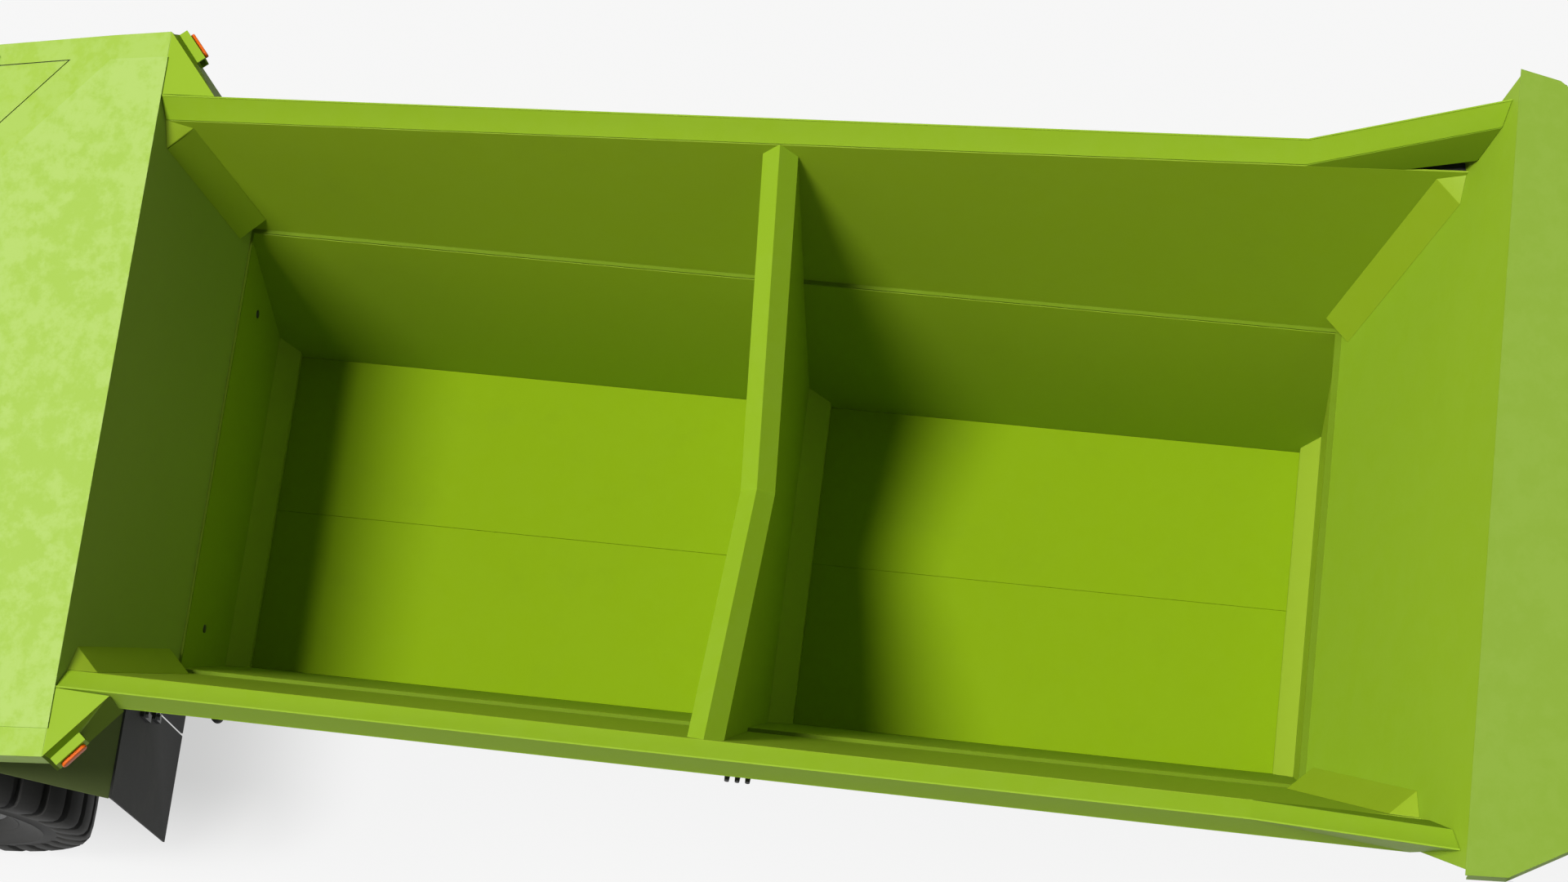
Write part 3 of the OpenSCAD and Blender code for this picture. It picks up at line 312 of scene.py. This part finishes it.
# The ledge paint is a darker lime, a painted shade for ledges and lamp stays that lie in shade.
ledge_shade_paint = lime_paint("lime_paint_ledges", (0.135, 0.215, 0.008), pale_dust_and_sheen, 0.02, 0.06, 0.05)


# Sheet and tube work: every welded piece keeps its shape and gets softened edges, as folded and sprayed
# metal has, and stands for its CAD node.
def smooth(piece, degrees=20):
    """Round shading over shallow facets, while flat faces stay even."""
    for p in piece.data.polygons:
        p.use_smooth = True
    piece.data.set_sharp_from_angle(angle=math.radians(degrees))


def sharp_edges(mesh, degrees):
    return [e for e in mesh.edges if len(e.link_faces) == 2 and e.calc_face_angle(0) > math.radians(degrees)]


def softened(node, width, material, segments=2):
    """A copy of a CAD node with rounded edges, in the node's place."""
    mesh = bmesh.new()
    mesh.from_mesh(nodes[node].data)
    bmesh.ops.remove_doubles(mesh, verts=mesh.verts, dist=2e-5)
    bmesh.ops.dissolve_limit(mesh, angle_limit=math.radians(0.6), verts=mesh.verts, edges=mesh.edges)
    bmesh.ops.bevel(mesh, geom=sharp_edges(mesh, 25), offset=width, offset_type="OFFSET", segments=segments,
                    profile=0.5, affect="EDGES", clamp_overlap=True, harden_normals=False)
    piece = add_piece(node + ".skin", mesh, material, body_of_node[node])
    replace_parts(piece, node)
    return piece


def add_piece(name, mesh, material, body, degrees=20):
    data = bpy.data.meshes.new(name)
    mesh.to_mesh(data)
    mesh.free()
    data.materials.clear()
    data.materials.append(material)
    piece = bpy.data.objects.new(name, data)
    scene.collection.objects.link(piece)
    smooth(piece, degrees)
    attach(piece, body)
    return piece


sheet_edge = 0.0012
rail_edge = 0.0006
hood_edge = 0.0015
fender_edge = 0.003
beam_edge = 0.004
inside = ["tub_side_left", "tub_side_right", "tub_ends", "upper_side_left", "upper_side_right", "divider",
          "corner_gussets"]
doors = ["door_front_left", "door_front_right", "door_rear_left", "door_rear_right"]
rails = ["rim_left", "rim_right", "divider_cap"]
front_cover = ["front_hood", "hood_hatch_left", "hood_hatch_right"]
chassis = ["side_stakes", "side_sill_left", "side_sill_right", "cross_beams", "frame_rails", "end_posts",
           "bolster", "tongue_yoke", "drawbar"]
for names, width, material in (
        (inside, sheet_edge, inside_paint),
        (["foot_strips"], sheet_edge, strip_highlight_paint),
        (doors, sheet_edge, door_paint),
        (rails, rail_edge, rim_paint),
        (["ledge_frame"], rail_edge, ledge_shade_paint),
        (["rear_end_wall"], sheet_edge, rear_wall_paint),
        (["front_end_wall"], sheet_edge, front_wall_sheen_paint),
        (front_cover, hood_edge, cover_sheen_paint),
        (["rear_hood"], hood_edge, tail_sheen_paint),
        (chassis, beam_edge, frame_paint),
        (["fender_left", "fender_right"], fender_edge, fender_shade_paint)):
    for name in names:
        softened(name, width, material)


# Running gear: black-painted axles, knuckles, cylinders and valve, bare turned steel rods, and wheels in
# dark graphite, as the bit of wheel in the photo is dark.
def metal(name, colour, metallic, rough, dirt):
    m, t = new_material(name)
    worn = noise(t, 14, 6, 0.65)
    fine = noise(t, 300, 2, 0.5)
    tone = mix(t, (worn.step(0.5, 0.75) * dirt).clamp(), colour, (0.09, 0.075, 0.06))
    return finish_material(m, {
        "Base Color": tone, "Roughness": worn * 0.25 + rough, "Metallic": metallic},
        bumps(t, 0.12, 0.001, fine + worn))


gear_paint = metal("running_gear_paint", (0.03, 0.032, 0.034), 0.0, 0.3, 0.5)
bare_steel = metal("bare_steel", (0.5, 0.51, 0.52), 1.0, 0.2, 0.15)
wheel_paint = metal("wheel_paint", (0.075, 0.076, 0.078), 0.0, 0.35, 0.25)
for name in ["rear_axle", "front_axle", "knuckle_left", "knuckle_right", "door_cylinders", "control_valve",
             "hinge_pins"]:
    softened(name, 0.003, gear_paint)
for name in ["tie_rod", "towing_eye", "jack_leg", "rod_front_left", "rod_front_right", "rod_rear_left",
             "rod_rear_right"]:
    softened(name, 0.0015, bare_steel)
corners = ["front_left", "front_right", "rear_left", "rear_right"]
for corner in corners:
    softened("wheel_" + corner, 0.002, wheel_paint)


# Flotation tyres: a square-shouldered carcass with two rings of wide blocks that wrap over the shoulder,
# staggered by half a pitch, and moulded ribs on the sidewall. Outlines are pairs of radius and distance
# from the tyre's middle plane.
def rubber(name, colour, grain, dust):
    m, t = new_material(name)
    cloud = noise(t, 5, 6, 0.6)
    fine = noise(t, grain, 3, 0.6)
    tone = mix(t, (cloud.step(0.45, 0.75) * dust).clamp(), colour, (0.09, 0.088, 0.082))
    return finish_material(m, {
        "Base Color": tone, "Roughness": fine * 0.2 + 0.6, "Specular IOR Level": 0.18},
        bumps(t, 0.25, 0.001, fine))


tyre_rubber = rubber("tyre_rubber", (0.047, 0.047, 0.046), 180, 0.25)
flap_rubber = rubber("flap_rubber", (0.05, 0.05, 0.051), 260, 0.3)
carcass = [(0.337, 0.188), (0.337, 0.2139), (0.352, 0.2139), (0.362, 0.228), (0.392, 0.247), (0.398, 0.252),
           (0.404, 0.2505), (0.450, 0.2685), (0.490, 0.2735), (0.496, 0.2775), (0.502, 0.2735),
           (0.540, 0.271), (0.580, 0.267), (0.606, 0.258), (0.626, 0.242), (0.638, 0.216), (0.644, 0.160),
           (0.646, 0.075)]
lug_foot = [(0.545, 0.270), (0.570, 0.268), (0.598, 0.261), (0.616, 0.250), (0.628, 0.238), (0.637, 0.218),
            (0.641, 0.195), (0.6435, 0.150), (0.6435, 0.090), (0.6435, 0.030)]
lug_top = [(0.546, 0.2735), (0.572, 0.2785), (0.606, 0.2790), (0.634, 0.2765), (0.653, 0.2690),
           (0.6655, 0.2510), (0.6705, 0.2150), (0.672, 0.150), (0.672, 0.090), (0.672, 0.030)]
lug_count = 32
lug_half = 0.36
lug_half_on_side = 0.30
side_from = 0.255
lean_from = 0.16
lean_rate = 0.42
lug_round = 0.0035


def turned(mesh, outline, steps):
    """Faces of an outline turned round the z axis."""
    rings = [[mesh.verts.new((r * math.cos(k * math.tau / steps), r * math.sin(k * math.tau / steps), z))
              for k in range(steps)] for r, z in outline]
    for a, b in zip(rings, rings[1:]):
        for k in range(steps):
            mesh.faces.new((a[k], a[k - 1], b[k - 1], b[k]))


def tyre_mesh():
    mesh = bmesh.new()
    turned(mesh, carcass + [(r, -z) for r, z in reversed(carcass)], 128)
    pitch = math.tau / lug_count
    lugs = bmesh.new()
    for side in (1, -1):
        for i in range(lug_count):
            middle = (i + (0.5 if side < 0 else 0)) * pitch
            rows = []
            for (r, z), (top_r, top_z) in zip(lug_foot, lug_top):
                lean = 0.0 if z > lean_from else (lean_from - z) * lean_rate
                wide = pitch * (lug_half_on_side if z > side_from else lug_half)
                row = []
                for rr, zz, half in ((r - 0.006, z - 0.002, wide + 0.006), (top_r, top_z, wide)):
                    for s in (-1, 1):
                        a = middle + lean + s * half
                        row.append(lugs.verts.new((rr * math.cos(a), rr * math.sin(a), side * zz)))
                rows.append(row)
            for a, b in zip(rows, rows[1:]):
                for q in ((a[2], a[3], b[3], b[2]), (a[0], a[2], b[2], b[0]), (a[3], a[1], b[1], b[3])):
                    lugs.faces.new(q)
            lugs.faces.new((rows[0][0], rows[0][1], rows[0][3], rows[0][2]))
            lugs.faces.new((rows[-1][0], rows[-1][2], rows[-1][3], rows[-1][1]))
    bmesh.ops.recalc_face_normals(lugs, faces=lugs.faces)
    bmesh.ops.bevel(lugs, geom=sharp_edges(lugs, 40), offset=lug_round, segments=2, profile=0.5,
                    affect="EDGES", clamp_overlap=True)
    bmesh.ops.recalc_face_normals(mesh, faces=mesh.faces)
    made = bpy.data.meshes.new("tyre_lugs")
    lugs.to_mesh(made)
    mesh.from_mesh(made)
    lugs.free()
    bpy.data.meshes.remove(made)
    return mesh


for corner in corners:
    node = "tyre_" + corner
    mesh = tyre_mesh()
    turn = Matrix.Rotation(math.radians(-90 if corner.endswith("right") else 90), 4, "X")
    bmesh.ops.transform(mesh, matrix=Matrix.Translation(middle_of(node)) @ turn, verts=mesh.verts)
    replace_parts(add_piece(node + ".rubber", mesh, tyre_rubber, "wheel_" + corner, 35), node)


# Mud flaps: flat rubber sheets that hang from the fenders, each with one slit. They keep the shape of
# their solid, and only their edges are rounded.
softened("mud_flaps", 0.001, flap_rubber)


# Marker lamps: amber moulded lenses with fine ribs in the boxes on the front wings. The lens is matt
# enough to stay orange under the white surround.
m, t = new_material("amber_lens")
ribs = make(t, "ShaderNodeTexWave", dict(wave_type="BANDS"), {"Scale": 60.0, "Distortion": 0.0})
amber = finish_material(m, {
    "Base Color": (0.72, 0.125, 0.006), "Roughness": 0.35, "Specular IOR Level": 0.12},
    bumps(t, 0.2, 0.001, ribs))
softened("lamp_lenses", 0.004, amber, segments=3)


# Levers: black moulded knobs on rods, tipped by hand to work the doors and the jack. Knob and rod are
# one piece, and the same black plastic makes the black discs in the drain holes, a painted shade.
m, t = new_material("lever_black")
grain = noise(t, 500, 2, 0.5)
lever_black = finish_material(m, {
    "Base Color": (0.015, 0.015, 0.016), "Roughness": grain * 0.2 + 0.4}, bumps(t, 0.1, 0.0005, grain))
for name in ["lever_front_doors", "lever_rear_doors", "lever_jack"]:
    softened(name, 0.001, lever_black)


# Hood skin: a second, slightly smaller sheet lies on the middle facet; its edges show as fine steps
# along the ridge and along both creases.
ridge_x = -2.145
ridge_z = 2.272
skin_t = 0.004


def centre_z(x):
    """Height of the hood's middle facet."""
    return ridge_z + 0.32 * (x - ridge_x)


def plate(name, outline, push, material, body, width=0.0008):
    """A flat sheet: an outline pushed along a vector, with soft edges."""
    mesh = bmesh.new()
    low = [mesh.verts.new((x + mid_x, y, z)) for x, y, z in outline]
    high = [mesh.verts.new((x + mid_x + push[0], y + push[1], z + push[2])) for x, y, z in outline]
    mesh.faces.new(low)
    mesh.faces.new(high)
    for k in range(len(low)):
        mesh.faces.new((low[k - 1], low[k], high[k], high[k - 1]))
    bmesh.ops.recalc_face_normals(mesh, faces=mesh.faces)
    bmesh.ops.bevel(mesh, geom=list(mesh.edges), offset=width, segments=2, profile=0.5, affect="EDGES",
                    clamp_overlap=True)
    return add_piece(name, mesh, material, body)


skin_line = [(-2.1405, -1.179), (-2.1405, 1.179), (-2.357, 1.179), (-3.536, 0.0), (-2.357, -1.179)]
plate("hood_middle_skin", [(x, y, centre_z(x) + 0.0002) for x, y in skin_line], (0, 0, skin_t), hood_sheen_paint,
      "root")


# Hatch seals: flat black rubber strips on a gutter under the gap round each hatch, three to a hatch; their
# black is painted shade that keeps the gap dark. They follow the hood's side facet, a little below its sheet.
hatch_hole = [(-2.520, 1.191), (-3.424, 1.191), (-3.424, 0.287)]
hatch_middle = (-3.159, 0.926)
seal_out = 1.04
seal_in = 0.93
crease_x = -2.359
crease_y = 1.181


def side_z(x, y):
    """Height of the hood's side facets."""
    return centre_z(crease_x) + 0.40 * (x - crease_x) - 0.084 * (abs(y) - crease_y)


for side, name in sides:
    for k, (a, b) in enumerate(zip(hatch_hole, hatch_hole[1:] + hatch_hole[:1])):
        strip = [[m + (c - m) * grow for m, c in zip(hatch_middle, corner)]
                 for corner, grow in ((a, seal_out), (b, seal_out), (b, seal_in), (a, seal_in))]
        plate("hatch_shade_seal_" + name + str(k), [(x, side * y, side_z(x, y) - 0.009) for x, y in strip],
              (0, 0, 0.0028), flap_rubber, "root")


# Door seals: thin black rubber lips that close the joint between each pair of floor doors; their black is
# painted shade that keeps the joint dark. Each lip is fixed to the left leaf and swings with it.
for end, low, high in (("front", -1.85, -0.14), ("rear", 0.14, 1.85)):
    plate("door_shade_seal_" + end, [(x, -0.0006, z) for x, z in (
        (low, 0.806), (high, 0.806), (high, 0.8145), (low, 0.8145))],
        (0, 0.0008, 0), flap_rubber, body_of_node["door_" + end + "_left"], 0.0001)


# Hinge seals: a black rubber lip on the outer edge of each floor door closes the gap to the tub's side;
# its black is painted shade that keeps the gap dark. It swings with its door.
for door in doors:
    low, high = box_of(door)
    side = -1 if door.endswith("left") else 1
    plate("hinge_shade_seal_" + door, [(x - mid_x, side * y, 0.812) for x, y in (
        (low.x + 0.005, 0.5995), (high.x - 0.005, 0.5995), (high.x - 0.005, 0.6045),
        (low.x + 0.005, 0.6045))],
        (0, 0, -0.004), flap_rubber, body_of_node[door], 0.0003)


# Web under each rim: each rim's rise is closed by a web that is folded up to its inner edge. The slot under
# the web has a black rubber backing, a painted shade that keeps the slot dark.
web_corner = Vector((2.3197, 1.1223, 2.7946))
web_corner_reach = 0.007
slot_line = [(2.02, 1.0680, 2.535), (2.246, 1.0685, 2.548), (2.246, 1.150, 2.520), (2.02, 1.145, 2.500)]
for side, name in sides:
    for v in bpy.data.objects["rim_" + name + ".skin"].data.vertices:
        if (Vector((v.co.x - mid_x, v.co.y * side, v.co.z)) - web_corner).length < web_corner_reach:
            v.co += Vector((0.001, 0.0108 * side, 0.0008))
    plate("slot_shade_backing_" + name, [(x, side * y, z) for x, y, z in slot_line],
          (0, 0, -0.003), flap_rubber, "root", 0.0005)


# Lamp stays: a flared plate hangs from each front wing's slanted edge, and the lamp box and its lens stand
# on the plate's outer face. The box is part of the hood's skin, so its corners are moved there.
lamp_middle = Vector((-2.086, 1.203, 2.222))
wing_line = Vector((0.6455, -0.7638, 0))
wing_out = Vector((0.7638, 0.6455, 0))
lamp_shift = wing_out * 0.016 - wing_line * 0.014
lamp_reach = (0.066, 0.025, 0.034)
lamp_depth_middle = 0.021
stay_t = 0.003
for v in bpy.data.objects["front_hood.skin"].data.vertices:
    side = math.copysign(1, v.co.y)
    off = Vector((v.co.x - mid_x, v.co.y * side, v.co.z)) - lamp_middle
    spot = (off.dot(wing_line), off.dot(wing_out) - lamp_depth_middle, off.z)
    if all(abs(a) < b for a, b in zip(spot, lamp_reach)):
        v.co += Vector((lamp_shift.x, lamp_shift.y * side, 0))
for v in bpy.data.objects["lamp_lenses.skin"].data.vertices:
    v.co += Vector((lamp_shift.x, math.copysign(lamp_shift.y, v.co.y), 0))
wing_ends = [Vector((-2.1440, 1.2725, 2.2660)), Vector((-1.9585, 1.0520, 2.2660))]
flare = wing_out * 0.025 - Vector((0, 0, 0.135))
stay_line = [wing_ends[0], wing_ends[1], wing_ends[1] + flare, wing_ends[0] + flare]
# The stay plates wear the darker ledge paint, a painted shade.
for side, name in sides:
    plate("lamp_stay_" + name, [(q.x, q.y * side, q.z) for q in stay_line],
          (-stay_t * wing_out.x, -stay_t * wing_out.y * side, 0), ledge_shade_paint, "root", 0.0006)


# Drain grommets: black discs pressed into the holes high in the tub's end panels, a painted shade that keeps
# the holes dark. The front pair sits lower than the rear pair, as the photo shows.
def cone(mesh, at, low_radius, high_radius, tall, steps, turn=Matrix.Identity(4)):
    """A round button or post about its middle."""
    bmesh.ops.create_cone(mesh, cap_ends=True, segments=steps, radius1=low_radius, radius2=high_radius,
                          depth=tall, matrix=Matrix.Translation((at[0] + mid_x, at[1], at[2])) @ turn)


along_x = Matrix.Rotation(math.radians(90), 4, "Y")
drain_face = min(abs(v.co.x - mid_x) for v in nodes["tub_ends"].data.vertices)
for end, z, name in ((-1, 1.33, "front"), (1, 1.515, "rear")):
    mesh = bmesh.new()
    for y in (-0.588, 0.588):
        cone(mesh, (end * (drain_face - 0.002), y, z), 0.0145, 0.0145, 0.004, 28, along_x)
    add_piece("drain_shade_discs_" + name, mesh, lever_black, "root")


# Hood buffers: small rubber buttons on the sides of the rear hood, one at each front corner.
# They stand out a little past the hood's skirt.
for side, name in sides:
    mesh = bmesh.new()
    cone(mesh, (2.506, side * 1.284, 2.792), 0.014, 0.011, 0.022, 24,
         Matrix.Rotation(math.radians(-90 * side), 4, "X"))
    add_piece("hood_buffer_" + name, mesh, flap_rubber, "root")


# Flap holders: a flat bar with six bolts clamps each mud flap to the fender's rear edge, and two hooked
# clips sit beside its slit.
def block(mesh, at, size):
    """A box about its middle."""
    bmesh.ops.create_cube(mesh, size=1, matrix=Matrix.Translation((at[0] + mid_x, at[1], at[2]))
                          @ Matrix.Diagonal((*size, 1)))


bolt_r = 0.009
bolt_tall = 0.011
to_front = Vector((0, 0, 1)).rotation_difference(Vector((-1, 0, 0))).to_matrix().to_4x4()
for side, name in sides:
    mesh = bmesh.new()
    block(mesh, (-2.1465, side * 0.961, 1.366), (0.006, 0.536, 0.05))
    bmesh.ops.bevel(mesh, geom=list(mesh.edges), offset=0.0015, segments=2, profile=0.5, affect="EDGES")
    for k in range(6):
        y = side * (0.72 + k * 0.0965)
        cone(mesh, (-2.1495 - bolt_tall * 0.5, y, 1.366), bolt_r, bolt_r, bolt_tall, 6, to_front)
        cone(mesh, (-2.1495 - bolt_tall * 0.15, y, 1.366), bolt_r * 1.5, bolt_r * 1.45, bolt_tall * 0.3, 16,
             to_front)
    add_piece("flap_bar_" + name, mesh, frame_paint, "root")
    mesh = bmesh.new()
    for y, low, high in ((0.884, 1.095, 1.205), (0.857, 0.958, 1.045)):
        block(mesh, (-2.127, side * y, (low + high) / 2), (0.012, 0.028, high - low))
        cone(mesh, (-2.116, side * y, high - 0.03), 0.013, 0.011, 0.012, 20, along_x)
    add_piece("flap_clips_" + name, mesh, gear_paint, "root")


# Pipes: bent steel tubes from the valve along the left sill and the centre beam to the four door
# cylinders, held by small clamps.
def tube(mesh, points, radius, steps=10):
    """A round tube through points, with its corners rounded."""
    pts = [Vector((x + mid_x, y, z)) for x, y, z in points]
    line = [pts[0]]
    for a, b, c in zip(pts, pts[1:], pts[2:]):
        bend = min(radius * 4, (a - b).length * 0.45, (c - b).length * 0.45)
        start = b + (a - b).normalized() * bend
        end = b + (c - b).normalized() * bend
        for k in range(6):
            u = k / 5
            line.append(start * (1 - u) ** 2 + b * 2 * u * (1 - u) + end * u * u)
    line.append(pts[-1])
    rings = []
    out = None
    for k, q in enumerate(line):
        ahead = (line[min(k + 1, len(line) - 1)] - line[max(k - 1, 0)]).normalized()
        if out is None:
            out = ahead.orthogonal().normalized()
        out = (out - ahead * out.dot(ahead)).normalized()
        other = ahead.cross(out)
        turns = [i * math.tau / steps for i in range(steps)]
        rings.append([mesh.verts.new(q + radius * (out * math.cos(u) + other * math.sin(u))) for u in turns])
    for a, b in zip(rings, rings[1:]):
        for i in range(steps):
            mesh.faces.new((a[i - 1], a[i], b[i], b[i - 1]))
    mesh.faces.new(list(reversed(rings[0])))
    mesh.faces.new(rings[-1])


pipe_r = 0.006
mesh = bmesh.new()
for k, (end, side) in enumerate(((-1, -1), (1, -1), (-1, 1), (1, 1))):
    x = -0.062 + k * 0.016
    tube(mesh, [(x, -0.77, 0.852), (x, -0.77, 0.772 - k * 0.002), (x, -0.70, 0.681),
                (x, side * 0.30 - 0.02, 0.681), (end * 0.088, side * 0.30, 0.672)], pipe_r)
    for y in (-0.62, -0.35):
        block(mesh, (x, y, 0.687), (0.022, 0.02, 0.012))
add_piece("door_pipes", mesh, bare_steel, "root", 40)


# Wing welds: a bead along the joint between each front wing and the rim that runs into it. It is painted
# over with the rim.
bead_r = 0.0022
for side, name in sides:
    mesh = bmesh.new()
    tube(mesh, [(-2.142, side * 1.0405, 2.2712), (-2.039, side * 1.0400, 2.2765),
                (-1.906, side * 1.0415, 2.2850)], bead_r, 8)
    add_piece("wing_weld_" + name, mesh, rim_paint, "root", 60)


# Side buffers: rubber stops on short brackets at the front end of each sill. The near one shows as a dark
# round spot below the rim in the photo.
bracket_boxes = (((-1.935, 0.738, 0.88), (-1.887, 0.748, 1.012)),
                 ((-1.935, 0.748, 0.985), (-1.887, 0.832, 0.993)))
buffer_steps = ((0.0215, 0.0215, 0.982, 1.0), (0.0215, 0.015, 1.0, 1.009))
for side, name in sides:
    mesh = bmesh.new()
    for low, high in bracket_boxes:
        x, y, z = [(a + b) / 2 for a, b in zip(low, high)]
        block(mesh, (x, side * y, z), [b - a for a, b in zip(low, high)])
    add_piece("buffer_bracket_" + name, mesh, frame_paint, "root")
    mesh = bmesh.new()
    for low_r, high_r, low, high in buffer_steps:
        cone(mesh, (-1.911, side * 0.831, (low + high) / 2), low_r, high_r, high - low, 32)
    add_piece("buffer_rubber_" + name, mesh, flap_rubber, "root", 40)

scene.view_settings.view_transform = "Standard"
